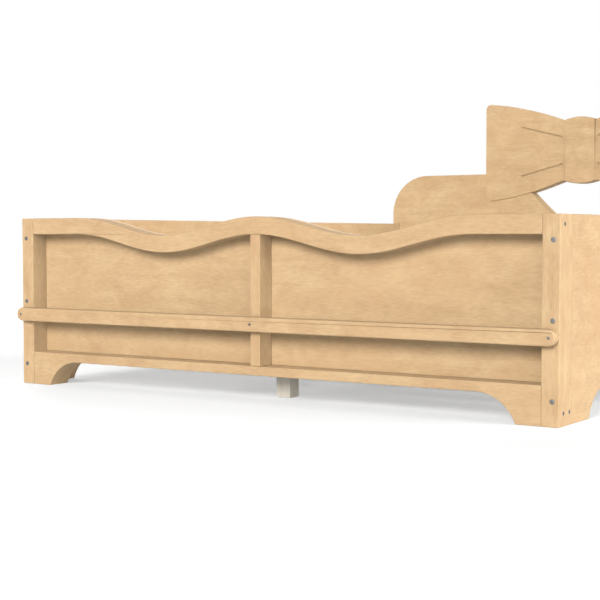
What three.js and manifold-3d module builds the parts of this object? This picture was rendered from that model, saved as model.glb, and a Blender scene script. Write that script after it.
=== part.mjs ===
// A low floor bed for a child: a book rack in its foot end, a headboard with two lobes and a bow.
// Millimetres, +Z up, the foot end towards -Y. The origin is under the middle of the whole bed.

import * as THREE from "three";
import { mergeVertices } from "three/addons/utils/BufferGeometryUtils.js";
import Module from "manifold-3d";

const wasm = await Module();
wasm.setup();

// The gap left between pieces that touch, and around every fastener.
const fitGap = 0.3;
// How far a cutting tool runs past the face that it starts from.
const overrun = 2;

// The bed as a whole.
const bedWidth = 1634;
const sideHeight = 470;
const wellLength = 2054;
const boardThickness = 32;

// Feet and the arch between them, the same on all four sides.
const footWidth = 104;
const floorClearance = 68;
const archRadius = 107;

// Foot end with its book rack.
const postWidth = 42;
const rackDepth = 52;
const panelThickness = 20;
const mullionWidth = 29;
const bottomRailHeight = 24;
const waveRailHeight = 45;
const waveDepth = 48;
const waveRun = 300;
const barHeight = 38;
const barThickness = 24;
const barCentreHeight = 199;

// Headboard.
const headboardThickness = 60;
const lobeRise = 195;
const lobeCornerRadius = 155;
const dipDepth = 214;
const dipRun = 336;

// Bow, let into notches in the headboard's lobes, with channels beside its knot and four creases.
const bowRise = 83;
const bowHalfWidth = 392;
const bowHalfHeight = 191;
const bowCornerRadius = 20;
const loopBulgeReach = 228;
const loopBulgeHeight = 178;
const knotHalfWidth = 66;
const knotHalfHeight = 127.5;
const knotCrown = 12.5;
const knotChannelWidth = 12;
const knotChannelFloor = 8;
const knotChannelDepth = 3;
const creaseWidth = 7;
const creaseFloor = 1;
const creaseDepth = 5;
const creaseInnerHeight = 51;
const creaseOuterReach = 240;
const creaseOuterHeight = 96;

// Mattress base.
const slatSeatHeight = 130;
const ledgerHeight = 38;
const ledgerThickness = 24;
const slatCount = 12;
const slatWidth = 100;
const slatThickness = 18;
const beamSection = 46;
const legSection = 43;
const cleatDepth = 36;
const cleatToLeg = 16;
const cleatFloor = 14;
const cleatCheek = 20;
const cleatCheekHeight = 26;

// Connecting bolts and their barrel nuts.
const boltRadius = 3;
const boltHeadRadius = 6;
const boltHeadHeight = 3;
const boltEdgeDistance = 57;
const middleBoltRise = 36;
const boltTip = 9;
const nutRadius = 5;
const nutCover = 4;
const nutSetback = 40;

// Wood screws through the posts and through the bar.
const frameScrewRadius = 2.5;
const frameScrewHeadRadius = 5;
const frameScrewHeadHeight = 2.5;
const frameScrewLength = 70;
const footScrewHeight = 30;
const footScrewBackInset = 12;
const barScrewRadius = 2;
const barScrewHeadRadius = 3.5;
const barScrewHeadHeight = 2;
const barScrewLength = 48;

// Sizes that follow from those above.
const halfWidth = bedWidth / 2;
const ledgeHeight = floorClearance + bottomRailHeight;
const lobeHeight = sideHeight + lobeRise;
const bowCentreHeight = lobeHeight + bowRise;
const nutLength = boardThickness - 2 * nutCover;
const postDepth = rackDepth + panelThickness;
const innerHalfWidth = halfWidth - boardThickness;
const postInnerFace = halfWidth - postWidth;
const boardLength = wellLength - 2 * fitGap;
const fastenerInset = boardThickness / 2;
const headBoltHeights = [boltEdgeDistance, sideHeight - boltEdgeDistance];
const boltHeights = [boltEdgeDistance, barCentreHeight + middleBoltRise, sideHeight - boltEdgeDistance];
const barFront = barThickness + fitGap;
const barScrewReach = barScrewLength - barFront;
const knotNeckHalfHeight = knotHalfHeight - knotCrown;
const overallDepth = barFront + postDepth + wellLength + headboardThickness;

// Where screws go through a post into the ends of the rails, as [y, z] places.
const topScrewPlace = [rackDepth / 2, sideHeight - waveRailHeight / 2];
const footScrewPlaces = [
  [rackDepth / 2, footScrewHeight],
  [postDepth - footScrewBackInset, footScrewHeight],
];
const frameScrewPlaces = [topScrewPlace, ...footScrewPlaces];

// Fineness of curves and of round parts.
const arcSteps = 14;
const waveSteps = 80;
const dipSteps = 28;
const roundSides = 16;

const birch = new THREE.MeshStandardMaterial({ color: 0xe3c094, roughness: 0.55 });
const baseWood = new THREE.MeshStandardMaterial({ color: 0xe2c9a0, roughness: 0.65 });
const legWood = new THREE.MeshStandardMaterial({ color: 0xe9e2d2, roughness: 0.6 });
const zinc = new THREE.MeshStandardMaterial({ color: 0xa9abab, roughness: 0.35, metalness: 1 });

// Solids for cutting.

function toSolid(geometry) {
  const bare = new THREE.BufferGeometry();
  const flat = geometry.index ? geometry.toNonIndexed() : geometry;
  bare.setAttribute("position", flat.getAttribute("position"));
  const merged = mergeVertices(bare);
  return new wasm.Manifold(new wasm.Mesh({
    numProp: 3,
    vertProperties: merged.getAttribute("position").array,
    triVerts: new Uint32Array(merged.index.array),
  }));
}

function toGeometry(solid) {
  const mesh = solid.getMesh();
  const geometry = new THREE.BufferGeometry();
  geometry.setAttribute("position", new THREE.BufferAttribute(mesh.vertProperties, 3));
  geometry.setIndex(new THREE.BufferAttribute(mesh.triVerts, 1));
  const flat = geometry.toNonIndexed();
  flat.computeVertexNormals();
  return flat;
}

function cut(geometry, tools) {
  let solid = toSolid(geometry);
  for (const tool of tools) solid = solid.subtract(toSolid(tool));
  return toGeometry(solid);
}

// Stock shapes. Each stands in the bed's own directions: X across, Y lengthwise, Z up.

// A block centred on X, reaching from y = 0 to its depth and from z = 0 to its height.
function block(width, depth, height) {
  return new THREE.BoxGeometry(width, depth, height).translate(0, depth / 2, height / 2);
}

// A board whose outline of [x, z] points faces the foot end, from y = 0 to its thickness.
function boardFacingFoot(outline, thickness) {
  const shape = new THREE.Shape(outline.map(([x, z]) => new THREE.Vector2(x, z)));
  const board = new THREE.ExtrudeGeometry(shape, { depth: thickness, bevelEnabled: false });
  return board.rotateX(Math.PI / 2).translate(0, thickness, 0);
}

// A board whose outline of [y, z] points faces sideways, from x = 0 to its thickness.
function boardFacingSide(outline, thickness) {
  const shape = new THREE.Shape(outline.map(([y, z]) => new THREE.Vector2(y, z)));
  const board = new THREE.ExtrudeGeometry(shape, { depth: thickness, bevelEnabled: false });
  return board.rotateY(Math.PI / 2).rotateX(Math.PI / 2);
}

// A round hole along +Y that starts an overrun before y = 0.
function hole(radius, depth) {
  const length = depth + overrun;
  const drill = new THREE.CylinderGeometry(radius, radius, length, roundSides);
  return drill.translate(0, depth - length / 2, 0);
}

// The stepped hole that a headed fastener sits in, along +Y with its mouth at y = 0.
function fastenerHole(fastener) {
  return [
    hole(fastener.headRadius + fitGap, fastener.headHeight + fitGap),
    hole(fastener.radius + fitGap, fastener.length + fitGap),
  ];
}

// Outlines.

function arcPoints(centreX, centreZ, radius, startAngle, endAngle) {
  const points = [];
  for (let i = 0; i <= arcSteps; i++) {
    const angle = startAngle + (endAngle - startAngle) * i / arcSteps;
    points.push([centreX + radius * Math.cos(angle), centreZ + radius * Math.sin(angle)]);
  }
  return points;
}

// The underside of a board that runs from start to finish, with a foot at each end.
function footedUnderside(start, finish, foot) {
  const radius = Math.max(archRadius, floorClearance);
  const centreZ = floorClearance - radius;
  const run = Math.sqrt(radius ** 2 - centreZ ** 2);
  const floorAngle = Math.asin(-centreZ / radius);
  return [
    [start, 0],
    ...arcPoints(start + foot + run, centreZ, radius, Math.PI - floorAngle, Math.PI / 2),
    ...arcPoints(finish - foot - run, centreZ, radius, Math.PI / 2, floorAngle),
    [finish, 0],
  ];
}

// How far the wave of the foot end lies under its crest at a distance across from the middle.
function waveDrop(x) {
  const distance = Math.min(Math.abs(x), 2 * waveRun);
  return waveDepth * (1 - Math.cos(Math.PI * distance / waveRun)) / 2;
}

// The wave at a given crest height, from -reach to +reach.
function wavePoints(crestHeight, reach) {
  const points = [];
  for (let i = 0; i <= waveSteps; i++) {
    const x = reach * (2 * i / waveSteps - 1);
    points.push([x, crestHeight - waveDrop(x)]);
  }
  return points;
}

// The top of the headboard from its right edge to its left edge.
function headboardTop() {
  const cornerX = halfWidth - lobeCornerRadius;
  const cornerZ = lobeHeight - lobeCornerRadius;
  const points = arcPoints(cornerX, cornerZ, lobeCornerRadius, 0, Math.PI / 2);
  for (let i = 0; i <= dipSteps; i++) {
    const x = dipRun * (1 - 2 * i / dipSteps);
    points.push([x, lobeHeight - dipDepth * (1 + Math.cos(Math.PI * x / dipRun)) / 2]);
  }
  return points.concat(arcPoints(-cornerX, cornerZ, lobeCornerRadius, Math.PI / 2, Math.PI));
}

// A quarter of the bow, from the crown of the knot to the middle of the loop's outer edge.
// The margin is how much larger than the bow the outline is, for the notches that it sits in.
function bowQuarter(margin) {
  const knotRadius = (knotHalfWidth ** 2 + knotCrown ** 2) / (2 * knotCrown);
  const neckAngle = Math.acos(knotHalfWidth / knotRadius);
  const knotCentre = knotHalfHeight + margin - knotRadius;
  const knot = arcPoints(0, knotCentre, knotRadius, Math.PI / 2, neckAngle);
  const cornerX = bowHalfWidth - bowCornerRadius;
  const loop = new THREE.QuadraticBezierCurve(
    new THREE.Vector2(knotHalfWidth, knotNeckHalfHeight + margin),
    new THREE.Vector2(loopBulgeReach, loopBulgeHeight + margin),
    new THREE.Vector2(cornerX, bowHalfHeight + margin),
  );
  const cornerZ = bowHalfHeight - bowCornerRadius;
  const corner = arcPoints(cornerX, cornerZ, bowCornerRadius + margin, Math.PI / 2, 0);
  const bulge = loop.getPoints(arcSteps).slice(1, -1).map((point) => [point.x, point.y]);
  return [...knot, ...bulge, ...corner];
}

function bowOutline(margin) {
  const quarter = bowQuarter(margin);
  const right = quarter.concat(quarter.map(([x, z]) => [x, -z]).reverse());
  const left = right.map(([x, z]) => [-x, z]).reverse();
  return right.slice(0, -1).concat(left.slice(0, -1));
}

// Fasteners. Each points along +Y with its head at y = 0.

const bolt = {
  radius: boltRadius,
  headRadius: boltHeadRadius,
  headHeight: boltHeadHeight,
  length: postDepth + fitGap + nutSetback + boltTip,
};
const headBolt = { ...bolt, length: headboardThickness + fitGap + nutSetback + boltTip };
const frameScrew = {
  radius: frameScrewRadius,
  headRadius: frameScrewHeadRadius,
  headHeight: frameScrewHeadHeight,
  length: frameScrewLength,
};
const barScrew = {
  radius: barScrewRadius,
  headRadius: barScrewHeadRadius,
  headHeight: barScrewHeadHeight,
  length: barScrewLength,
};

function fastenerGeometry(fastener) {
  const profile = [
    [0, 0],
    [fastener.headRadius, 0],
    [fastener.headRadius, fastener.headHeight],
    [fastener.radius, fastener.headHeight],
    [fastener.radius, fastener.length],
    [0, fastener.length],
  ].map(([radius, y]) => new THREE.Vector2(radius, y));
  const turned = new THREE.LatheGeometry(profile, roundSides);
  const socketRadius = fastener.headRadius / 2;
  const socketLength = fastener.headHeight / 2 + overrun;
  const socket = new THREE.CylinderGeometry(socketRadius, socketRadius, socketLength, 6);
  return cut(turned, [socket.translate(0, socketLength / 2 - overrun, 0)]);
}

function barrelNutGeometry() {
  const barrel = new THREE.CylinderGeometry(nutRadius, nutRadius, nutLength, roundSides);
  const cross = hole(boltRadius + fitGap, 2 * nutRadius + overrun).translate(0, -nutRadius, 0);
  return cut(barrel.rotateZ(Math.PI / 2), [cross]);
}

// Adding a named piece to its group.
function add(group, name, geometry, material, x, y, z) {
  const mesh = new THREE.Mesh(geometry, material);
  mesh.name = name;
  mesh.position.set(x, y, z);
  group.add(mesh);
  return mesh;
}

const hands = [["left", -1], ["right", 1]];

// Foot end. Y runs from its front face into the bed.

function postGeometry(hand) {
  const tools = [];
  const boltX = hand * (postWidth / 2 - fastenerInset);
  for (const height of boltHeights) {
    for (const tool of fastenerHole(bolt)) tools.push(tool.translate(boltX, 0, height));
  }
  for (const [y, z] of frameScrewPlaces) {
    for (const tool of fastenerHole(frameScrew)) {
      tools.push(tool.rotateZ(hand * Math.PI / 2).translate(hand * postWidth / 2, y, z));
    }
  }
  const barHole = hole(barScrewRadius + fitGap, barScrewReach + fitGap);
  tools.push(barHole.translate(boltX, 0, barCentreHeight));
  return cut(block(postWidth, postDepth, sideHeight), tools);
}

// The holes in both ends of a rail for the screws that come through the posts.
function railEndHoles(railEnd, places) {
  const depth = frameScrewLength - postWidth;
  const tools = [];
  for (const [, hand] of hands) {
    for (const [y, z] of places) {
      const drill = hole(frameScrewRadius + fitGap, depth).rotateZ(hand * Math.PI / 2);
      tools.push(drill.translate(hand * railEnd, y, z));
    }
  }
  return tools;
}

function footEnd() {
  const group = new THREE.Group();
  const railEnd = postInnerFace - fitGap;
  const rackFittingDepth = rackDepth - fitGap;

  for (const [side, hand] of hands) {
    const postX = hand * (halfWidth - postWidth / 2);
    add(group, `foot_post_${side}`, postGeometry(hand), birch, postX, 0, 0);
  }

  const waveRail = boardFacingFoot([
    ...wavePoints(sideHeight - waveRailHeight, railEnd),
    ...wavePoints(sideHeight, railEnd).reverse(),
  ], rackFittingDepth);
  add(group, "foot_wave_rail", cut(waveRail, railEndHoles(railEnd, [topScrewPlace])), birch, 0, 0, 0);

  const railFoot = footWidth - postWidth - fitGap;
  const bottomRail = boardFacingFoot([
    ...footedUnderside(-railEnd, railEnd, railFoot),
    [railEnd, ledgeHeight],
    [-railEnd, ledgeHeight],
  ], postDepth);
  const drilledRail = cut(bottomRail, railEndHoles(railEnd, footScrewPlaces));
  add(group, "foot_bottom_rail", drilledRail, birch, 0, 0, 0);

  const panelBottom = ledgeHeight + fitGap;
  const panel = boardFacingFoot([
    [-railEnd, panelBottom],
    [railEnd, panelBottom],
    ...wavePoints(sideHeight, railEnd).reverse(),
  ], panelThickness);
  add(group, "foot_panel", panel, birch, 0, rackDepth, 0);

  const mullionHeight = sideHeight - waveRailHeight - waveDrop(mullionWidth / 2) - fitGap - panelBottom;
  const mullionHole = hole(barScrewRadius + fitGap, barScrewReach + fitGap);
  mullionHole.translate(0, 0, barCentreHeight - panelBottom);
  const mullion = cut(block(mullionWidth, rackFittingDepth, mullionHeight), [mullionHole]);
  add(group, "foot_mullion", mullion, birch, 0, 0, panelBottom);

  group.add(bookBar());

  const boltX = halfWidth - fastenerInset;
  for (const [side, hand] of hands) {
    boltHeights.forEach((height, i) => {
      add(group, `foot_bolt_${side}_${i + 1}`, fastenerGeometry(bolt), zinc, hand * boltX, 0, height);
    });
    frameScrewPlaces.forEach(([y, z], i) => {
      const name = `frame_screw_${side}_${i + 1}`;
      const screw = add(group, name, fastenerGeometry(frameScrew), zinc, hand * halfWidth, y, z);
      screw.rotation.z = hand * Math.PI / 2;
    });
  }
  return group;
}

// The bar that keeps the books in, across the outside of posts and mullion, with its three screws.
function bookBar() {
  const group = new THREE.Group();
  const endRadius = barHeight / 2;
  const outline = [
    ...arcPoints(halfWidth - endRadius, 0, endRadius, -Math.PI / 2, Math.PI / 2),
    ...arcPoints(-halfWidth + endRadius, 0, endRadius, Math.PI / 2, 3 * Math.PI / 2),
  ];
  const screwX = halfWidth - fastenerInset;
  const places = [["left", -screwX], ["middle", 0], ["right", screwX]];
  const tools = [];
  for (const [, x] of places) {
    for (const tool of fastenerHole(barScrew)) tools.push(tool.translate(x, 0, 0));
  }
  add(group, "book_bar", cut(boardFacingFoot(outline, barThickness), tools), birch, 0, 0, 0);
  for (const [place, x] of places) {
    add(group, `bar_screw_${place}`, fastenerGeometry(barScrew), zinc, x, 0, 0);
  }
  group.position.set(0, -barFront, barCentreHeight);
  return group;
}

// Side boards with their barrel nuts. Y runs from the back of the foot posts.

function sideBoardGeometry(hand) {
  const board = boardFacingSide([
    ...footedUnderside(0, boardLength, footWidth),
    [boardLength, sideHeight],
    [0, sideHeight],
  ], boardThickness);
  const innerX = hand < 0 ? boardThickness : 0;
  const tools = [];
  const reach = nutSetback + boltTip + fitGap;
  for (const height of boltHeights) {
    tools.push(hole(boltRadius + fitGap, reach).translate(boardThickness / 2, 0, height));
    tools.push(nutHole(hand).translate(innerX, nutSetback, height));
  }
  for (const height of headBoltHeights) {
    const drill = hole(boltRadius + fitGap, reach).rotateZ(Math.PI);
    tools.push(drill.translate(boardThickness / 2, boardLength, height));
    tools.push(nutHole(hand).translate(innerX, boardLength - nutSetback, height));
  }
  return cut(board, tools);
}

// The blind hole for a barrel nut, drilled outwards from the inner face of a side board.
function nutHole(hand) {
  const depth = (boardThickness + nutLength) / 2 + fitGap;
  return hole(nutRadius + fitGap, depth).rotateZ(-hand * Math.PI / 2);
}

function sides() {
  const group = new THREE.Group();
  group.position.y = postDepth;
  for (const [side, hand] of hands) {
    const boardX = hand < 0 ? -halfWidth : innerHalfWidth;
    add(group, `side_board_${side}`, sideBoardGeometry(hand), birch, boardX, fitGap, 0);
    const nutX = hand * (halfWidth - fastenerInset);
    boltHeights.forEach((height, i) => {
      const name = `foot_nut_${side}_${i + 1}`;
      add(group, name, barrelNutGeometry(), zinc, nutX, fitGap + nutSetback, height);
    });
    headBoltHeights.forEach((height, i) => {
      const name = `head_nut_${side}_${i + 1}`;
      add(group, name, barrelNutGeometry(), zinc, nutX, fitGap + boardLength - nutSetback, height);
    });
  }
  return group;
}

// Head end. Y runs from the front face of the headboard to its back.

function headEnd() {
  const group = new THREE.Group();
  group.position.y = postDepth + wellLength;

  const boltX = halfWidth - fastenerInset;
  const board = boardFacingFoot([
    ...footedUnderside(-halfWidth, halfWidth, footWidth),
    ...headboardTop(),
  ], headboardThickness);
  const notch = boardFacingFoot(bowOutline(fitGap), headboardThickness + 2 * overrun);
  const tools = [notch.translate(0, -overrun, bowCentreHeight)];
  for (const [, hand] of hands) {
    for (const height of headBoltHeights) {
      for (const tool of fastenerHole(headBolt)) {
        tools.push(tool.rotateZ(Math.PI).translate(hand * boltX, headboardThickness, height));
      }
    }
  }
  add(group, "headboard", cut(board, tools), birch, 0, 0, 0);

  for (const [side, hand] of hands) {
    headBoltHeights.forEach((height, i) => {
      const name = `head_bolt_${side}_${i + 1}`;
      const geometry = fastenerGeometry(headBolt);
      add(group, name, geometry, zinc, hand * boltX, headboardThickness, height).rotation.z = Math.PI;
    });
  }

  add(group, "headboard_bow", bowGeometry(), birch, 0, 0, bowCentreHeight);
  return group;
}

const knotChannel = { width: knotChannelWidth, floor: knotChannelFloor, depth: knotChannelDepth };
const crease = { width: creaseWidth, floor: creaseFloor, depth: creaseDepth };

// A groove with sloping walls in a front face, from one [x, z] place to another.
function groove(profile, [startX, startZ], [endX, endZ]) {
  const floorReach = profile.floor / 2;
  const wallRun = profile.width / 2 - floorReach;
  const mouthReach = floorReach + wallRun * (1 + overrun / profile.depth);
  const section = new THREE.Shape([
    new THREE.Vector2(-mouthReach, -overrun),
    new THREE.Vector2(mouthReach, -overrun),
    new THREE.Vector2(floorReach, profile.depth),
    new THREE.Vector2(-floorReach, profile.depth),
  ]);
  const length = Math.hypot(endX - startX, endZ - startZ);
  const cutter = new THREE.ExtrudeGeometry(section, { depth: length, bevelEnabled: false });
  return cutter.rotateY(Math.atan2(endX - startX, endZ - startZ)).translate(startX, 0, startZ);
}

function bowGeometry() {
  const grooves = [];
  for (const hand of [-1, 1]) {
    const knotSide = hand * knotHalfWidth;
    grooves.push(groove(knotChannel, [knotSide, -knotHalfHeight], [knotSide, knotHalfHeight]));
    for (const half of [-1, 1]) {
      const inner = [knotSide, half * creaseInnerHeight];
      grooves.push(groove(crease, inner, [hand * creaseOuterReach, half * creaseOuterHeight]));
    }
  }
  return cut(boardFacingFoot(bowOutline(0), headboardThickness), grooves);
}

// Mattress base. Y runs from the back of the foot end.

function mattressBase() {
  const group = new THREE.Group();
  group.position.y = postDepth;

  const ledgerX = innerHalfWidth - fitGap - ledgerThickness / 2;
  for (const [side, hand] of hands) {
    const ledger = block(ledgerThickness, boardLength, ledgerHeight);
    add(group, `ledger_${side}`, ledger, baseWood, hand * ledgerX, fitGap, slatSeatHeight - ledgerHeight);
  }

  const slatLength = 2 * (innerHalfWidth - fitGap);
  const pitch = wellLength / slatCount;
  for (let i = 0; i < slatCount; i++) {
    const slat = block(slatLength, slatWidth, slatThickness);
    const slatY = pitch * (i + 1 / 2) - slatWidth / 2;
    const name = `slat_${String(i + 1).padStart(2, "0")}`;
    add(group, name, slat, baseWood, 0, slatY, slatSeatHeight + fitGap);
  }

  const beamBottom = slatSeatHeight - beamSection;
  const beam = block(beamSection, boardLength, beamSection);
  add(group, "centre_beam", beam, baseWood, 0, fitGap, beamBottom);

  const cleatHalfWidth = beamSection / 2 + fitGap + cleatCheek;
  const pocketHalfWidth = beamSection / 2 + fitGap;
  const cleat = boardFacingFoot([
    [-cleatHalfWidth, 0],
    [cleatHalfWidth, 0],
    [cleatHalfWidth, cleatFloor + cleatCheekHeight],
    [pocketHalfWidth, cleatFloor + cleatCheekHeight],
    [pocketHalfWidth, cleatFloor],
    [-pocketHalfWidth, cleatFloor],
    [-pocketHalfWidth, cleatFloor + cleatCheekHeight],
    [-cleatHalfWidth, cleatFloor + cleatCheekHeight],
  ], cleatDepth);
  const cleatZ = beamBottom - fitGap - cleatFloor;
  add(group, "beam_cleat_foot", cleat, baseWood, 0, fitGap, cleatZ);
  add(group, "beam_cleat_head", cleat.clone(), baseWood, 0, wellLength - fitGap - cleatDepth, cleatZ);

  const legSetback = cleatDepth + cleatToLeg;
  const legPlaces = [
    ["foot", legSetback],
    ["middle", (wellLength - legSection) / 2],
    ["head", wellLength - legSetback - legSection],
  ];
  for (const [place, y] of legPlaces) {
    const leg = block(legSection, legSection, beamBottom - fitGap);
    add(group, `centre_leg_${place}`, leg, legWood, 0, y, 0);
  }
  return group;
}

const bed = new THREE.Group();
bed.add(footEnd(), sides(), headEnd(), mattressBase());
bed.position.y = barFront - overallDepth / 2;

const floorBed = new THREE.Group();
floorBed.add(bed);

export default floorBed;
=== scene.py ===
"""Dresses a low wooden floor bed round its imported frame.

The bed has a book rack in its foot end and a headboard with a large wooden bow. Its boards are birch
veneer, its slatted base is planed poplar on legs of whitened beech, and its fixings are zinc-plated
steel. Each board's outer edges are softened, and the bed stands in a plain white studio.
"""

import logging
import math
from collections.abc import Iterable
from dataclasses import dataclass, field
from enum import Enum
from typing import Any

import bpy
from mathutils import Euler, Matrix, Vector


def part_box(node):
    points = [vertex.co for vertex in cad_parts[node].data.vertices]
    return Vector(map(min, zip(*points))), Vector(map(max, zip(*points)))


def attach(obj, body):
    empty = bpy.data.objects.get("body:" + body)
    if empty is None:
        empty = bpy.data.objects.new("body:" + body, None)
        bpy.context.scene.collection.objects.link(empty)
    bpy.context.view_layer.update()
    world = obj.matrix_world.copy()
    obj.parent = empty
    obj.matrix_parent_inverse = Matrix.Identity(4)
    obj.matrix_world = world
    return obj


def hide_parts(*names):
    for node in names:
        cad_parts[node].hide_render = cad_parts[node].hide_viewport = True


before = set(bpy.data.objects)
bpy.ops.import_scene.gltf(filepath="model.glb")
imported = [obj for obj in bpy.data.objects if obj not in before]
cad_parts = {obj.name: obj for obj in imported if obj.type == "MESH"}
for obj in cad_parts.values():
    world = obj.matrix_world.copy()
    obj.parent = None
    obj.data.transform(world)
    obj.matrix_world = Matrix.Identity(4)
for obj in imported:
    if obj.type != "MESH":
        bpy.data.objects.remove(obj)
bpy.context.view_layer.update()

MM = 0.001
LENGTHWISE = Vector((0, 1, 0))
SIDEWAYS = Vector((1, 0, 0))
# Two directions count as the same when the cosine of the angle between them is at least this.
ALIKE = 0.99
# Faces that meet at less than this are shaded as one surface.
SMOOTH_ANGLE = math.radians(36)
NOISE_AVERAGE = 0.5
WHITE = (1.0, 1.0, 1.0, 1.0)
log = logging.getLogger("floor_bed")


def linear(colour: str) -> tuple[float, float, float, float]:
    """Turns an sRGB hex colour into the linear values that shaders take.

    Args:
        colour: the colour as "#rrggbb".

    Returns:
        Red, green, blue and alpha, linear.
    """
    channels = []
    for start in (1, 3, 5):
        value = int(colour[start:start + 2], 16) / 255
        # The sRGB curve is a straight line near black, and a power above it.
        channels.append(value / 12.92 if value <= 0.04045 else ((value + 0.055) / 1.055) ** 2.4)
    red, green, blue = channels
    return red, green, blue, 1.0


def add_node(
    tree: bpy.types.NodeTree, kind: str, inputs: dict[Any, Any] | None = None, **settings: Any
) -> bpy.types.Node:
    """Adds a node to a tree, with its settings and its inputs set or linked.

    Args:
        tree: the material's or the world's node tree.
        kind: the node's type name.
        inputs: socket name or number to a value, or to the output socket that it is linked to.
        settings: properties of the node.

    Returns:
        The new node.
    """
    node = tree.nodes.new(kind)
    for name, value in settings.items():
        setattr(node, name, value)
    for socket, value in (inputs or {}).items():
        if isinstance(value, bpy.types.NodeSocket):
            tree.links.new(value, node.inputs[socket])
        else:
            node.inputs[socket].default_value = value
    return node


def new_material(name: str) -> tuple[bpy.types.Material, bpy.types.NodeTree]:
    """Makes an empty node material.

    Args:
        name: the material's name.

    Returns:
        The material and its node tree.
    """
    material = bpy.data.materials.new(name)
    material.use_nodes = True
    material.node_tree.nodes.clear()
    return material, material.node_tree


class Grain(Enum):
    """The way that a board's grain runs, with the turn that brings it onto X."""

    ALONG_X = (0.0, 0.0, 0.0)
    ALONG_Y = (0.0, 0.0, math.radians(-90))
    ALONG_Z = (0.0, math.radians(90), 0.0)


@dataclass(frozen=True)
class Streaks:
    """One layer of a wood's figure: a noise drawn out along the grain.

    The length and width are those of one streak. Detail is how many finer layers the noise has, and
    waver is how far it is warped.
    """

    length_mm: float
    width_mm: float
    detail: float = 3.0
    waver: float = 0.0

    def noise(self, tree: bpy.types.NodeTree, along: bpy.types.NodeSocket) -> bpy.types.NodeSocket:
        """Adds the layer to a material.

        Args:
            tree: the material's node tree.
            along: coordinates in metres with the grain along X.

        Returns:
            The noise's value, which is NOISE_AVERAGE on average.
        """
        length = self.length_mm * MM
        width = self.width_mm * MM
        drawn = add_node(
            tree, "ShaderNodeMapping", {"Vector": along, "Scale": (1 / length, 1 / width, 1 / width)}
        )
        noise = add_node(
            tree,
            "ShaderNodeTexNoise",
            {"Vector": drawn.outputs[0], "Scale": 1.0, "Detail": self.detail, "Distortion": self.waver},
        )
        return noise.outputs["Fac"]


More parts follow.
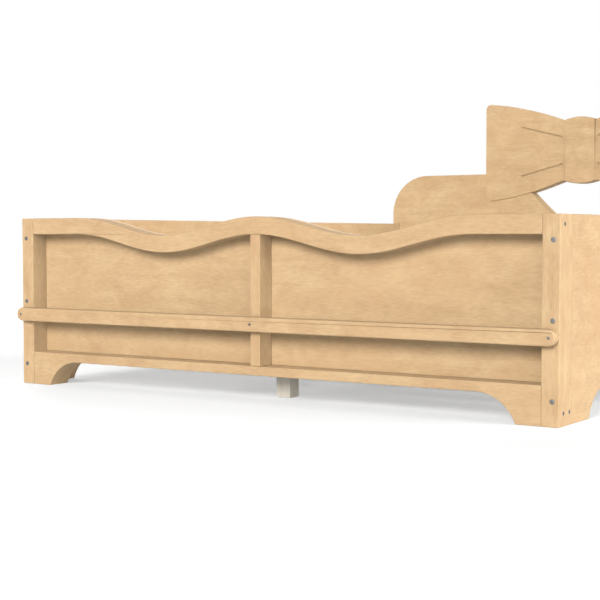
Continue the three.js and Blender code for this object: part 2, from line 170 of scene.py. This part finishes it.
@dataclass(frozen=True)
class WoodFinish:
    """A planed or veneered wood surface: a pale ground with fine fibres, mottled figure and slow bands.

    The fibre lines of the real wood are under a millimetre wide. They are drawn a few times as coarse,
    so that they show from some metres away. The tone is mixed from the three layers by their shares,
    and runs from dark to pale within its reach of the average. Blush fades in over the blush range of
    the patches. Each board's wood starts at its number times the board step, in metres.

    The light that a board passes on to its neighbours is taken as nearly neutral, so that the book
    rack's corners are brown in their shade and not orange. Where a surface looks up, shade is painted
    into its colour, darker and greyer, because top faces get less light than the fronts, and its
    roughness is raised there. The painted shade fades in over the top shade range of the normal's
    upward part.
    """

    name: str
    slot: str
    pale: str
    middle: str
    dark: str
    blush: str
    fibres: Streaks = Streaks(20.0, 4.0)
    mottle: Streaks = Streaks(95.0, 64.0, detail=2.0, waver=0.9)
    bands: Streaks = Streaks(300.0, 26.0, waver=0.4)
    patches: Streaks = Streaks(209.0, 102.4, detail=1.0, waver=0.5)
    fibre_share: float = 0.36
    mottle_share: float = 0.37
    band_share: float = 0.27
    tone_reach: float = 0.16
    contrast: float = 1.05
    blush_range: tuple[float, float] = (0.42, 0.68)
    blush_share: float = 0.3
    roughness: float = 0.6
    roughness_reach: float = 0.06
    gloss: float = 0.16
    relief_mm: float = 0.05
    relief_share: float = 0.35
    passed_on: str = "#b4b0a8"
    # Painted shade: the darker, greyer colour put on up-facing faces, which get less light.
    top_shade_colour: str = "#c8a880"
    top_shade_range: tuple[float, float] = (0.3, 0.9)
    top_roughening: float = 0.2
    board_step: tuple[float, float, float] = (3.7, 1.9, 2.3)

    def figure(
        self, tree: bpy.types.NodeTree, along: bpy.types.NodeSocket, fibres: bpy.types.NodeSocket
    ) -> bpy.types.NodeSocket:
        """Colours the wood by its figure.

        Args:
            tree: the material's node tree.
            along: coordinates in metres with the grain along X.
            fibres: the value of the fibres.

        Returns:
            The colour.
        """
        layers = (
            (fibres, self.fibre_share),
            (self.mottle.noise(tree, along), self.mottle_share),
            (self.bands.noise(tree, along), self.band_share),
        )
        tone: bpy.types.NodeSocket | float = 0.0
        for value, share in layers:
            summed = add_node(
                tree, "ShaderNodeMath", {0: value, 1: share, 2: tone}, operation="MULTIPLY_ADD"
            )
            tone = summed.outputs[0]
        reach = self.tone_reach / self.contrast
        ramp = add_node(tree, "ShaderNodeValToRGB", {"Fac": tone})
        stops = ramp.color_ramp.elements
        stops[0].position = NOISE_AVERAGE - reach
        stops[0].color = linear(self.dark)
        stops[1].position = NOISE_AVERAGE + reach
        stops[1].color = linear(self.pale)
        stops.new(NOISE_AVERAGE).color = linear(self.middle)

        low, high = self.blush_range
        warm = add_node(
            tree,
            "ShaderNodeMapRange",
            {
                "Value": self.patches.noise(tree, along),
                "From Min": low,
                "From Max": high,
                "To Max": self.blush_share,
            },
        )
        return add_node(
            tree,
            "ShaderNodeMix",
            {"Factor": warm.outputs[0], "A": ramp.outputs["Color"], "B": linear(self.blush)},
            data_type="RGBA",
        ).outputs["Result"]

    def paint_top_shade(
        self, tree: bpy.types.NodeTree, normal: bpy.types.NodeSocket,
        colour: bpy.types.NodeSocket, shine: bpy.types.NodeSocket,
    ) -> tuple[bpy.types.NodeSocket, bpy.types.NodeSocket]:
        """Paints shade, darker and greyer, where the surface looks up, and raises the roughness there.

        Args:
            tree: the material's node tree.
            normal: the surface's normal on the board.
            colour: the veneer's colour.
            shine: the veneer's roughness.

        Returns:
            The colour with the painted shade on up-facing faces, and the roughness.
        """
        low, high = self.top_shade_range
        # Painted shade: faces that look up are darkened and greyed by how far they look up.
        upward = add_node(tree, "ShaderNodeSeparateXYZ", {0: normal}).outputs["Z"]
        shade_amount = add_node(
            tree, "ShaderNodeMapRange", {"Value": upward, "From Min": low, "From Max": high}
        ).outputs[0]
        shaded_colour = add_node(
            tree, "ShaderNodeMix", {"Factor": shade_amount, "A": colour, "B": linear(self.top_shade_colour)}, data_type="RGBA"
        )
        dulled = add_node(
            tree,
            "ShaderNodeMath",
            {0: shade_amount, 1: self.top_roughening, 2: shine},
            operation="MULTIPLY_ADD",
            use_clamp=True,
        )
        return shaded_colour.outputs["Result"], dulled.outputs[0]

    def material(self, grain: Grain, board: int, shaded_top: bool) -> bpy.types.Material:
        """Makes the finish for one board.

        Args:
            grain: the way that the board's grain runs.
            board: the board's number, which gives it a stretch of wood of its own.
            shaded_top: whether shade is painted where the board looks up.

        Returns:
            The material.
        """
        material, tree = new_material(f"{self.name}_{board:02d}")
        surface = add_node(tree, "ShaderNodeTexCoord")
        along = add_node(
            tree,
            "ShaderNodeMapping",
            {
                "Vector": surface.outputs["Object"],
                "Rotation": grain.value,
                "Location": tuple(step * board for step in self.board_step),
            },
        ).outputs[0]
        fibres = self.fibres.noise(tree, along)
        colour = self.figure(tree, along, fibres)
        shine = add_node(
            tree,
            "ShaderNodeMapRange",
            {
                "Value": fibres,
                "To Min": self.roughness + self.roughness_reach,
                "To Max": self.roughness - self.roughness_reach,
            },
        ).outputs[0]
        # Shade is painted on the board's up-facing faces.
        if shaded_top:
            colour, shine = self.paint_top_shade(tree, surface.outputs["Normal"], colour, shine)
        passing = add_node(tree, "ShaderNodeLightPath").outputs["Is Diffuse Ray"]
        colour = add_node(
            tree,
            "ShaderNodeMix",
            {"Factor": passing, "A": colour, "B": linear(self.passed_on)},
            data_type="RGBA",
        ).outputs["Result"]

        bump = add_node(
            tree,
            "ShaderNodeBump",
            {"Height": fibres, "Strength": self.relief_share, "Distance": self.relief_mm * MM},
        )
        shader = add_node(
            tree,
            "ShaderNodeBsdfPrincipled",
            {
                "Base Color": colour,
                "Roughness": shine,
                "Specular IOR Level": self.gloss,
                "Normal": bump.outputs["Normal"],
            },
        )
        add_node(tree, "ShaderNodeOutputMaterial", {"Surface": shader.outputs[0]})
        return material


# Rotary-cut birch veneer under clear satin lacquer: honey-pale, even, with a faint curl.
BIRCH = WoodFinish(
    "birch_veneer",
    "birch",
    pale="#eccb9c",
    middle="#e0bc8f",
    dark="#d4ad82",
    blush="#e4ba8b",
)

# Planed poplar without a finish: paler, straighter and duller than the veneer.
POPLAR = WoodFinish(
    "planed_poplar",
    "base_wood",
    pale="#f2dfbd",
    middle="#ead3ad",
    dark="#d8be94",
    blush="#eed5b0",
    fibres=Streaks(140.0, 2.2),
    mottle=Streaks(90.0, 22.0, detail=2.0, waver=0.9),
    bands=Streaks(900.0, 16.0, waver=0.4),
    patches=Streaks(198.0, 35.2, detail=1.0, waver=0.5),
    contrast=1.2,
    roughness=0.62,
)

# Beech under a white satin stain: pale and a little shiny, the grain only just shows through.
WHITENED = WoodFinish(
    "whitened_beech",
    "leg_wood",
    pale="#fdf5e7",
    middle="#f8eedc",
    dark="#efe2cd",
    blush="#f9ecd8",
    fibres=Streaks(60.0, 1.8),
    mottle=Streaks(40.0, 14.0, detail=2.0, waver=0.9),
    bands=Streaks(300.0, 12.0, waver=0.4),
    patches=Streaks(88.0, 22.4, detail=1.0, waver=0.5),
    roughness=0.42,
    gloss=0.5,
)


@dataclass(frozen=True)
class ZincFinish:
    """Zinc-plated steel, as bolts come: grey, slightly uneven, duller in fine spots."""

    slot: str = "zinc"
    colour: str = "#989795"
    dulled: str = "#6f6d6b"
    grit_mm: float = 0.7
    grit_detail: float = 2.0
    smoothest: float = 0.37
    roughest: float = 0.57

    def material(self) -> bpy.types.Material:
        """Makes the finish that all fixings share.

        Returns:
            The material.
        """
        material, tree = new_material("zinc_plated_steel")
        place = add_node(tree, "ShaderNodeTexCoord").outputs["Object"]
        grit = add_node(
            tree,
            "ShaderNodeTexNoise",
            {"Vector": place, "Scale": 1 / (self.grit_mm * MM), "Detail": self.grit_detail},
        ).outputs["Fac"]
        tone = add_node(
            tree,
            "ShaderNodeMix",
            {"Factor": grit, "A": linear(self.colour), "B": linear(self.dulled)},
            data_type="RGBA",
        )
        shine = add_node(
            tree, "ShaderNodeMapRange", {"Value": grit, "To Min": self.smoothest, "To Max": self.roughest}
        )
        shader = add_node(
            tree,
            "ShaderNodeBsdfPrincipled",
            {"Base Color": tone.outputs["Result"], "Roughness": shine.outputs[0], "Metallic": 1.0},
        )
        add_node(tree, "ShaderNodeOutputMaterial", {"Surface": shader.outputs[0]})
        return material


def only_select(thing: bpy.types.Object) -> None:
    """Makes one object the active and only selected one.

    Args:
        thing: the object.
    """
    bpy.ops.object.select_all(action="DESELECT")
    thing.select_set(True)
    bpy.context.view_layer.objects.active = thing


class Element(Enum):
    """What is picked out in edit mode."""

    EDGE = "EDGE"
    FACE = "FACE"


def edit_only(thing: bpy.types.Object, element: Element, numbers: Iterable[int]) -> None:
    """Opens an object in edit mode with some of its edges or faces selected, and nothing else.

    Args:
        thing: the object.
        element: edges or faces.
        numbers: the numbers of the edges or faces.
    """
    only_select(thing)
    bpy.ops.object.mode_set(mode="EDIT")
    bpy.ops.mesh.select_mode(type=element.value)
    bpy.ops.mesh.select_all(action="DESELECT")
    bpy.ops.object.mode_set(mode="OBJECT")
    parts = thing.data.edges if element is Element.EDGE else thing.data.polygons
    for number in numbers:
        parts[number].select = True
    bpy.ops.object.mode_set(mode="EDIT")


def apply_modifiers(thing: bpy.types.Object) -> None:
    """Applies all of an object's modifiers in their order.

    Args:
        thing: the object.
    """
    only_select(thing)
    for modifier in list(thing.modifiers):
        bpy.ops.object.modifier_apply(modifier=modifier.name)


def cut_away(thing: bpy.types.Object, *tools: bpy.types.Object) -> None:
    """Cuts tools out of an object, and removes them.

    Args:
        thing: the object.
        tools: closed meshes of the shapes to cut.
    """
    for tool in tools:
        cut = thing.modifiers.new("cut", "BOOLEAN")
        cut.operation = "DIFFERENCE"
        cut.object = tool
        cut.solver = "EXACT"
    apply_modifiers(thing)
    for tool in tools:
        bpy.data.objects.remove(tool, do_unlink=True)


def settle(thing: bpy.types.Object) -> None:
    """Puts an object's place, turn and size into its mesh."""
    only_select(thing)
    bpy.ops.object.transform_apply(location=True, rotation=True, scale=True)


def hand_over(thing: bpy.types.Object, material: bpy.types.Material, slot: str, *nodes: str) -> None:
    """Gives a finished piece its material and its place on the frame.

    Args:
        thing: the piece.
        material: what it is made of.
        slot: the record's material slot; not used.
        nodes: the frame's nodes that it stands for.
    """
    thing.data.materials.clear()
    thing.data.materials.append(material)
    if nodes:
        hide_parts(*nodes)
    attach(thing, "root")
    log.info("%s: %d faces", thing.name, len(thing.data.polygons))


def outer_edges(
    mesh: bpy.types.Mesh, shortest: float, facing: Vector | None, flush_at: float | None
) -> list[int]:
    """Finds the edges that a router would soften.

    Args:
        mesh: a closed mesh of flat faces.
        shortest: shorter edges than this are the rims of drilled holes, and are left out.
        facing: where it is given, only edges of faces that look along it or against it count.
        flush_at: where it is given, edges at this place along Y meet another board flush and stay sharp.

    Returns:
        The numbers of the sharp outward edges.
    """
    least_turn = math.radians(60)
    nearby = 0.5 * MM
    sides: dict[tuple[int, int], list[tuple[Vector, Vector]]] = {}
    for face in mesh.polygons:
        corners = list(face.vertices)
        for first, second in zip(corners, corners[1:] + corners[:1]):
            direction = (mesh.vertices[second].co - mesh.vertices[first].co).normalized()
            inward = face.normal.cross(direction)
            sides.setdefault((min(first, second), max(first, second)), []).append((face.normal, inward))
    found = []
    for edge in mesh.edges:
        first, second = sorted(edge.vertices)
        pair = sides.get((first, second), [])
        ends = (mesh.vertices[first].co, mesh.vertices[second].co)
        if len(pair) != 2 or (ends[0] - ends[1]).length < shortest:
            continue
        if flush_at is not None and all(abs(end.y - flush_at) < nearby for end in ends):
            continue
        (normal, _), (other, inward) = pair
        if normal.angle(other, 0.0) < least_turn or inward.dot(normal) > 0:
            continue
        if facing and max(abs(normal.dot(facing)), abs(other.dot(facing))) < ALIKE:
            continue
        found.append(edge.index)
    return found


@dataclass
class Woodwork:
    """What the wooden sub-assemblies share: a board is taken from the frame, softened and finished.

    The frame's boards are loose triangles. Corners that lie closer than the merge distance become one,
    and triangles that lie flat to each other become one face, before an edge is softened.
    """

    arris_mm: float = 2.0
    arris_steps: int = 3
    shortest_edge_mm: float = 2.7
    merge_mm: float = 0.01
    flat_degrees: float = 0.1
    first_board: int = 0
    made: int = field(default=0, init=False)

    def board(
        self, node: str, finish: WoodFinish, grain: Grain,
        arris_mm: float | None = None, facing: Vector | None = None, flush_at: float | None = None,
        shaded_top: bool = False,
    ) -> None:
        """Makes the finished board that stands for one node.

        Args:
            node: the frame's node.
            finish: the wood.
            grain: the way that its grain runs.
            arris_mm: the radius of its softened edges, where it isn't the usual one.
            facing: where only a board's outline is softened, the way that the board faces.
            flush_at: the place along Y where it meets the next board flush, where there is one.
            shaded_top: whether shade is painted where it looks up.
        """
        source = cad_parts[node]
        piece = bpy.data.objects.new(f"{node}_finished", source.data.copy())
        bpy.context.scene.collection.objects.link(piece)
        only_select(piece)
        bpy.ops.mesh.customdata_custom_splitnormals_clear()
        bpy.ops.object.mode_set(mode="EDIT")
        bpy.ops.mesh.select_mode(type="EDGE")
        bpy.ops.mesh.select_all(action="SELECT")
        bpy.ops.mesh.remove_doubles(threshold=self.merge_mm * MM)
        bpy.ops.mesh.dissolve_limited(angle_limit=math.radians(self.flat_degrees))
        bpy.ops.object.mode_set(mode="OBJECT")
        shortest = self.shortest_edge_mm * MM
        edit_only(piece, Element.EDGE, outer_edges(piece.data, shortest, facing, flush_at))
        bpy.ops.mesh.bevel(
            offset=(arris_mm or self.arris_mm) * MM, segments=self.arris_steps, affect="EDGES"
        )
        bpy.ops.object.mode_set(mode="OBJECT")
        bpy.ops.object.shade_smooth_by_angle(angle=SMOOTH_ANGLE)
        piece.modifiers.new("even_shading", "WEIGHTED_NORMAL").keep_sharp = True
        apply_modifiers(piece)
        self.made += 1
        material = finish.material(grain, self.first_board + self.made, shaded_top)
        hand_over(piece, material, finish.slot, node)


@dataclass
class BookRackEnd(Woodwork):
    """The book rack at the foot end: posts, wavy and bottom rail, panel, middle upright and front bar."""

    bar_arris_mm: float = 4.0
    rail_arris_mm: float = 2.2
    panel_arris_mm: float = 1.5
    upright_arris_mm: float = 1.5

    def build(self) -> None:
        """Makes the foot end's boards."""
        for side in ("left", "right"):
            _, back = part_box(f"foot_post_{side}")
            self.board(f"foot_post_{side}", BIRCH, Grain.ALONG_Z, flush_at=back.y)
        self.board("foot_mullion", BIRCH, Grain.ALONG_Z, self.upright_arris_mm)
        self.board(
            "foot_wave_rail", BIRCH, Grain.ALONG_X, self.rail_arris_mm, LENGTHWISE, shaded_top=True
        )
        self.board("foot_bottom_rail", BIRCH, Grain.ALONG_X, self.rail_arris_mm, LENGTHWISE)
        self.board("foot_panel", BIRCH, Grain.ALONG_X, self.panel_arris_mm, LENGTHWISE)
        self.board("book_bar", BIRCH, Grain.ALONG_X, self.bar_arris_mm, LENGTHWISE, shaded_top=True)


@dataclass
class BedSides(Woodwork):
    """The two long side boards."""

    def build(self) -> None:
        """Makes the side boards."""
        for side in ("left", "right"):
            front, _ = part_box(f"side_board_{side}")
            self.board(
                f"side_board_{side}", BIRCH, Grain.ALONG_Y,
                facing=SIDEWAYS, flush_at=front.y, shaded_top=True,
            )


@dataclass
class BowHeadboard(Woodwork):
    """The headboard with its two lobes, and the bow that is let into them across the dip between."""

    bow_arris_mm: float = 3.5

    def build(self) -> None:
        """Makes the headboard and its bow."""
        self.board("headboard", BIRCH, Grain.ALONG_X, facing=LENGTHWISE, shaded_top=True)
        self.board("headboard_bow", BIRCH, Grain.ALONG_X, self.bow_arris_mm, LENGTHWISE, shaded_top=True)


@dataclass
class SlattedBase(Woodwork):
    """The mattress base: ledgers, slats, centre beam with its cleats, and the three pale legs."""

    slat_count: int = 12

    def build(self) -> None:
        """Makes the mattress base."""
        for side in ("left", "right"):
            self.board(f"ledger_{side}", POPLAR, Grain.ALONG_Y)
        for number in range(1, self.slat_count + 1):
            self.board(f"slat_{number:02d}", POPLAR, Grain.ALONG_X)
        self.board("centre_beam", POPLAR, Grain.ALONG_Y)
        for place in ("foot", "head"):
            self.board(f"beam_cleat_{place}", POPLAR, Grain.ALONG_X)
        for place in ("foot", "middle", "head"):
            self.board(f"centre_leg_{place}", WHITENED, Grain.ALONG_Z)


class Head(Enum):
    """The way that a fixing's head looks, as the turn of a fixing whose head looks up +Z."""

    TO_FOOT = (math.radians(90), 0.0, 0.0)
    TO_HEADBOARD = (math.radians(-90), 0.0, 0.0)
    TO_LEFT = (0.0, math.radians(-90), 0.0)
    TO_RIGHT = (0.0, math.radians(90), 0.0)

    def direction(self) -> Vector:
        """The way that the head looks, as a vector."""
        return Euler(self.value).to_matrix() @ Vector((0, 0, 1))


class FixingKind(Enum):
    """A kind of bolt or screw: its head's height and its shank's radius, in millimetres."""

    BOLT = (3.0, 3.0)
    FRAME_SCREW = (2.5, 2.5)
    BAR_SCREW = (2.0, 2.0)


@dataclass
class Fixings:
    """Bolts, screws and barrel nuts, all of zinc-plated steel.

    The socket's share is of its head's radius, and the shares of a barrel nut's cuts are of the
    barrel's: the cross bore's radius and length, and the slot's depth, length and width.
    """

    finish: ZincFinish = ZincFinish()
    sides: int = 32
    rim_mm: float = 0.7
    rim_steps: int = 3
    socket_sides: int = 6
    socket_share: float = 0.5
    bore_shares: tuple[float, float] = (0.66, 4.0)
    slot_shares: tuple[float, float, float] = (0.25, 3.0, 0.28)
    slat_screw_radius_mm: float = 3.6
    slat_screw_height_mm: float = 2.4
    slat_screw_proud_mm: float = 0.5
    slat_screw_spacing_mm: float = 56.0
    steel: bpy.types.Material | None = field(default=None, init=False)

    def build(self) -> None:
        """Makes every fixing."""
        self.steel = self.finish.material()
        for side, outward in (("left", Head.TO_LEFT), ("right", Head.TO_RIGHT)):
            for number in (1, 2, 3):
                self.fixing(f"foot_bolt_{side}_{number}", FixingKind.BOLT, Head.TO_FOOT)
                self.fixing(f"frame_screw_{side}_{number}", FixingKind.FRAME_SCREW, outward)
                self.barrel_nut(f"foot_nut_{side}_{number}")
            for number in (1, 2):
                self.fixing(f"head_bolt_{side}_{number}", FixingKind.BOLT, Head.TO_HEADBOARD)
                self.barrel_nut(f"head_nut_{side}_{number}")
        for place in ("left", "middle", "right"):
            self.fixing(f"bar_screw_{place}", FixingKind.BAR_SCREW, Head.TO_FOOT)
        for number in range(1, SlattedBase.slat_count + 1):
            self.slat_screws(f"slat_{number:02d}")

    def turned_head(self, radius: float, height: float) -> bpy.types.Object:
        """Makes a round head with a rolled rim and a hexagonal socket.

        Args:
            radius: the head's radius in metres.
            height: its height in metres.

        Returns:
            The head, which looks up with its top at z = 0.
        """
        bpy.ops.object.select_all(action="DESELECT")
        bpy.ops.mesh.primitive_cylinder_add(
            vertices=self.sides, radius=radius, depth=height, location=(0, 0, -height / 2)
        )
        head = bpy.context.active_object
        settle(head)
        corners = head.data.vertices
        rim = [
            edge.index
            for edge in head.data.edges
            if all(corners[corner].co.z > -height / 2 for corner in edge.vertices)
        ]
        edit_only(head, Element.EDGE, rim)
        bpy.ops.mesh.bevel(offset=self.rim_mm * MM, segments=self.rim_steps, affect="EDGES")
        bpy.ops.object.mode_set(mode="OBJECT")

        bpy.ops.object.select_all(action="DESELECT")
        bpy.ops.mesh.primitive_cylinder_add(
            vertices=self.socket_sides, radius=radius * self.socket_share, depth=height,
            location=(0, 0, 0),
        )
        cut_away(head, bpy.context.active_object)
        return head

    def fixing(self, node: str, kind: FixingKind, way: Head) -> None:
        """Makes the bolt or screw that stands for one node.

        Args:
            node: the frame's node.
            kind: which bolt or screw it is.
            way: the way that its head looks.
        """
        low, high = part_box(node)
        size = high - low
        direction = way.direction()
        length = abs(size.dot(direction))
        radius = min(size) / 2
        height, shank_radius = (value * MM for value in kind.value)
        head = self.turned_head(radius, height)
        underside = [face.index for face in head.data.polygons if face.normal.z < -ALIKE]
        edit_only(head, Element.FACE, underside)
        bpy.ops.mesh.inset(thickness=radius - shank_radius)
        bpy.ops.mesh.extrude_region_move(TRANSFORM_OT_translate={"value": (0, 0, height - length)})
        bpy.ops.object.mode_set(mode="OBJECT")
        bpy.ops.object.shade_smooth_by_angle(angle=SMOOTH_ANGLE)
        head.name = f"{node}_turned"
        head.rotation_euler = way.value
        head.location = (low + high) / 2 + direction * length / 2
        settle(head)
        hand_over(head, self.steel, self.finish.slot, node)

    def barrel_nut(self, node: str) -> None:
        """Makes the barrel nut that stands for one node: a slotted cylinder with a cross bore.

        Args:
            node: the frame's node.
        """
        low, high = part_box(node)
        centre = (low + high) / 2
        length = high.x - low.x
        radius = (high.z - low.z) / 2
        bpy.ops.object.select_all(action="DESELECT")
        bpy.ops.mesh.primitive_cylinder_add(
            vertices=self.sides, radius=radius, depth=length, location=centre,
            rotation=(0, math.radians(90), 0),
        )
        barrel = bpy.context.active_object
        settle(barrel)
        bore_radius, bore_length = (share * radius for share in self.bore_shares)
        bpy.ops.mesh.primitive_cylinder_add(
            vertices=self.sides, radius=bore_radius, depth=bore_length, location=centre,
            rotation=(math.radians(90), 0, 0),
        )
        bore = bpy.context.active_object
        inner_end = centre - Vector((math.copysign(length / 2, centre.x), 0, 0))
        bpy.ops.mesh.primitive_cube_add(
            size=1, location=inner_end, scale=tuple(share * radius for share in self.slot_shares)
        )
        cut_away(barrel, bore, bpy.context.active_object)
        bpy.ops.object.shade_smooth_by_angle(angle=SMOOTH_ANGLE)
        barrel.name = f"{node}_turned"
        hand_over(barrel, self.steel, self.finish.slot, node)

    def slat_screws(self, slat: str) -> None:
        """Makes the four screws that hold a slat down on its ledgers, as one piece.

        Args:
            slat: the slat's node.
        """
        low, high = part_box(slat)
        ledger_low, ledger_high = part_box("ledger_right")
        reach = (ledger_low.x + ledger_high.x) / 2
        middle = (low.y + high.y) / 2
        top = high.z + self.slat_screw_proud_mm * MM
        half_spacing = self.slat_screw_spacing_mm * MM / 2
        heads = []
        for side in (-1, 1):
            for end in (-1, 1):
                head = self.turned_head(self.slat_screw_radius_mm * MM, self.slat_screw_height_mm * MM)
                head.location = (side * reach, middle + end * half_spacing, top)
                settle(head)
                heads.append(head)
        only_select(heads[0])
        for head in heads:
            head.select_set(True)
        bpy.ops.object.join()
        bpy.ops.object.shade_smooth_by_angle(angle=SMOOTH_ANGLE)
        heads[0].name = f"{slat}_screws"
        hand_over(heads[0], self.steel, self.finish.slot)


class Sunlight(Enum):
    """The studio's broad lights: where each stands, how wide it looks and how strong it is.

    The values are the direction across from the foot end, the height above the floor and the width
    seen from the bed, all in degrees, and the strength, where pi lights a facing surface fully.
    """

    KEY = (8.0, 22.5, 24.0, 2.3)
    CORNER = (42.0, 8.0, 30.0, 0.39)
    RIGHT = (95.0, 17.0, 50.0, 2.8)
    BACK = (215.0, 30.0, 50.0, 1.3)
    REAR = (235.0, 3.0, 20.0, 1.3)


@dataclass
class Studio:
    """A white floor that reaches past the camera's view, five broad lights, and the camera.

    The floor's colour is what lights the bed from below. To the camera and in reflections it is white,
    and its lift is the light of its own that it has there, so that it is white outside the shadows.
    """

    floor_reach: float = 60.0
    floor_colour: str = "#d8dade"
    floor_lift: float = 0.365
    sky_strength: float = 0.01
    clip_end: float = 100.0
    camera_from_post: Vector = field(default_factory=lambda: Vector((2.78157, -2.73775, 0.42293)))
    yaw_degrees: float = 33.7404
    pitch_degrees: float = 2.7767
    lens_mm: float = 80.304
    sensor_mm: float = 36.0

    def build(self) -> None:
        """Makes floor, lights, surroundings and camera."""
        self.camera()
        self.floor()
        self.surroundings()
        for sunlight in Sunlight:
            self.light(sunlight)
        bpy.context.scene.view_settings.view_transform = "Standard"

    def camera(self) -> None:
        """Places the camera where the bed is seen from: off the right foot corner, low and far."""
        corner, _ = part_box("foot_post_left")
        lens = bpy.data.cameras.new("camera")
        lens.lens = self.lens_mm
        lens.sensor_width = self.sensor_mm
        lens.sensor_fit = "HORIZONTAL"
        lens.clip_end = self.clip_end
        camera = bpy.data.objects.new("camera", lens)
        camera.location = corner + self.camera_from_post
        camera.rotation_euler = (
            math.radians(90 - self.pitch_degrees), 0, math.radians(self.yaw_degrees)
        )
        bpy.context.scene.collection.objects.link(camera)
        bpy.context.scene.camera = camera

    def white_rays(self, tree: bpy.types.NodeTree) -> bpy.types.NodeSocket:
        """Tells the rays that should meet a white background from those that light the bed.

        Args:
            tree: a node tree.

        Returns:
            1 for camera, glossy and transmission rays, and 0 for others.
        """
        path = add_node(tree, "ShaderNodeLightPath")
        seen = add_node(
            tree,
            "ShaderNodeMath",
            {0: path.outputs["Is Camera Ray"], 1: path.outputs["Is Glossy Ray"]},
            operation="ADD",
        )
        return add_node(
            tree,
            "ShaderNodeMath",
            {0: seen.outputs[0], 1: path.outputs["Is Transmission Ray"]},
            operation="ADD",
            use_clamp=True,
        ).outputs[0]

    def surroundings(self) -> None:
        """Lights the bed a little from all round, and shows white behind it."""
        world = bpy.data.worlds.new("surroundings")
        world.use_nodes = True
        tree = world.node_tree
        tree.nodes.clear()
        strength = add_node(
            tree,
            "ShaderNodeMapRange",
            {"Value": self.white_rays(tree), "To Min": self.sky_strength, "To Max": 1.0},
        )
        sky = add_node(
            tree, "ShaderNodeBackground", {"Color": WHITE, "Strength": strength.outputs[0]}
        )
        add_node(tree, "ShaderNodeOutputWorld", {"Surface": sky.outputs[0]})
        bpy.context.scene.world = world

    def floor(self) -> None:
        """Makes the pale floor, lifted to white for the camera where no shadow falls."""
        bpy.ops.object.select_all(action="DESELECT")
        bpy.ops.mesh.primitive_plane_add(size=2 * self.floor_reach, location=(0, 0, 0))
        floor = bpy.context.active_object
        floor.name = "studio_floor"
        material, tree = new_material("studio_floor")
        white = self.white_rays(tree)
        tone = add_node(
            tree,
            "ShaderNodeMix",
            {"Factor": white, "A": linear(self.floor_colour), "B": WHITE},
            data_type="RGBA",
        )
        matte = add_node(tree, "ShaderNodeBsdfDiffuse", {"Color": tone.outputs["Result"]})
        lift = add_node(tree, "ShaderNodeMath", {0: white, 1: self.floor_lift}, operation="MULTIPLY")
        glow = add_node(tree, "ShaderNodeEmission", {"Color": WHITE, "Strength": lift.outputs[0]})
        both = add_node(tree, "ShaderNodeAddShader", {0: matte.outputs[0], 1: glow.outputs[0]})
        add_node(tree, "ShaderNodeOutputMaterial", {"Surface": both.outputs[0]})
        floor.data.materials.append(material)

    def light(self, sunlight: Sunlight) -> None:
        """Adds one of the broad lights.

        Args:
            sunlight: which one.
        """
        across, height, width, strength = sunlight.value
        sun = bpy.data.lights.new(sunlight.name.lower(), "SUN")
        sun.angle = math.radians(width)
        sun.energy = strength
        light = bpy.data.objects.new(sunlight.name.lower(), sun)
        light.rotation_euler = (math.radians(90 - height), 0, math.radians(across))
        bpy.context.scene.collection.objects.link(light)


def main() -> None:
    """Builds the bed's looks, sub-assembly by sub-assembly, and then the studio."""
    logging.basicConfig(level=logging.INFO, format="%(name)s %(message)s")
    BookRackEnd(first_board=0).build()
    BedSides(first_board=10).build()
    BowHeadboard(first_board=24).build()
    SlattedBase(first_board=30).build()
    Fixings().build()
    Studio().build()


if __name__ == "__main__":
    main()
